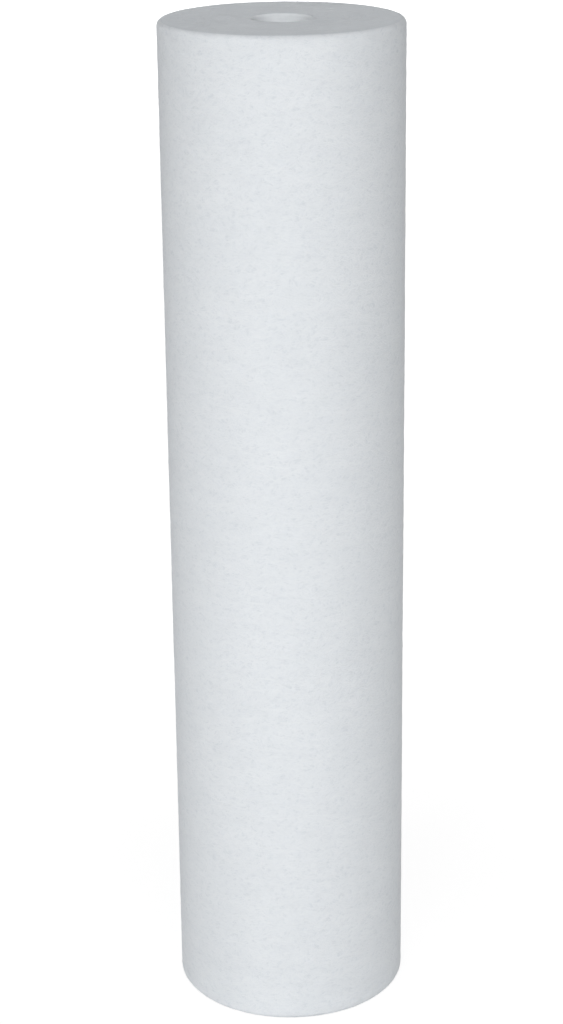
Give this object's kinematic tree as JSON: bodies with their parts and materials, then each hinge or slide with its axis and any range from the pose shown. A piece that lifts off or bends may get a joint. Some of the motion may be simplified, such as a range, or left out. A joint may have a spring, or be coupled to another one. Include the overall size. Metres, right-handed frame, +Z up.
{
  "type": "sediment filter cartridge",
  "caption": "Plain white blown-fibre filter cartridge: a long thick-walled tube with a narrow open bore, flat cut ends and softly rounded rims.",
  "frame": {"origin": "middle of the lower end face, on the bore's axis", "axes": "+Z up the cartridge along the bore; X and Y across it, alike all round"},
  "size_m": [0.117, 0.117, 0.502],
  "materials": {
    "blown_fibre": "matte felted polypropylene fibre"
  },
  "bodies": {
    "root": {"filter_cartridge": "blown_fibre"}
  },
  "joints": []
}
